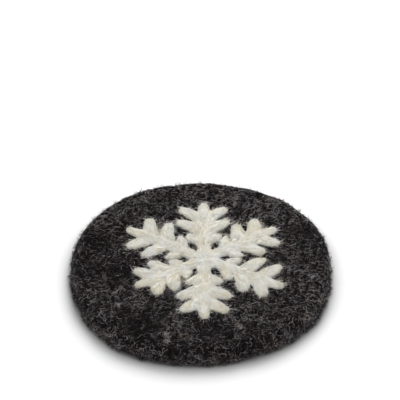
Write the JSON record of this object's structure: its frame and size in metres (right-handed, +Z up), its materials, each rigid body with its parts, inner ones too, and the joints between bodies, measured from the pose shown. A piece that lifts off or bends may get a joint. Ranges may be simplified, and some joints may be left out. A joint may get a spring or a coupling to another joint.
{
  "type": "drink coaster",
  "caption": "Round hand-felted wool coaster with a soft rim and a snowflake of pale wool tufts felted into its upper face, to carry a glass.",
  "frame": {"origin": "middle of the underside, on the table", "axes": "+Z up out of the decorated face, +Y towards the back of the picture, +X to its right"},
  "size_m": [0.0978, 0.1, 0.0077],
  "materials": {
    "charcoal_felt": "matte heathered wool felt with loose surface hairs",
    "cream_wool": "matte combed wool, felted in"
  },
  "bodies": {
    "root": {"felt_mat": "charcoal_felt", "back_right_arm_spine": "cream_wool", "back_right_arm_outer_barb_left": "cream_wool", "back_right_arm_middle_barb_left": "cream_wool", "back_right_arm_inner_barb_left": "cream_wool", "back_right_arm_outer_barb_right": "cream_wool", "back_right_arm_middle_barb_right": "cream_wool", "back_right_arm_inner_barb_right": "cream_wool", "back_arm_spine": "cream_wool", "back_arm_outer_barb_left": "cream_wool", "back_arm_middle_barb_left": "cream_wool", "back_arm_inner_barb_left": "cream_wool", "back_arm_outer_barb_right": "cream_wool", "back_arm_middle_barb_right": "cream_wool", "back_arm_inner_barb_right": "cream_wool", "back_left_arm_spine": "cream_wool", "back_left_arm_outer_barb_left": "cream_wool", "back_left_arm_middle_barb_left": "cream_wool", "back_left_arm_inner_barb_left": "cream_wool", "back_left_arm_outer_barb_right": "cream_wool", "back_left_arm_middle_barb_right": "cream_wool", "back_left_arm_inner_barb_right": "cream_wool", "front_left_arm_spine": "cream_wool", "front_left_arm_outer_barb_left": "cream_wool", "front_left_arm_middle_barb_left": "cream_wool", "front_left_arm_inner_barb_left": "cream_wool", "front_left_arm_outer_barb_right": "cream_wool", "front_left_arm_middle_barb_right": "cream_wool", "front_left_arm_inner_barb_right": "cream_wool", "front_arm_spine": "cream_wool", "front_arm_outer_barb_left": "cream_wool", "front_arm_middle_barb_left": "cream_wool", "front_arm_inner_barb_left": "cream_wool", "front_arm_outer_barb_right": "cream_wool", "front_arm_middle_barb_right": "cream_wool", "front_arm_inner_barb_right": "cream_wool", "front_right_arm_spine": "cream_wool", "front_right_arm_outer_barb_left": "cream_wool", "front_right_arm_middle_barb_left": "cream_wool", "front_right_arm_inner_barb_left": "cream_wool", "front_right_arm_outer_barb_right": "cream_wool", "front_right_arm_middle_barb_right": "cream_wool", "front_right_arm_inner_barb_right": "cream_wool"}
  },
  "joints": []
}
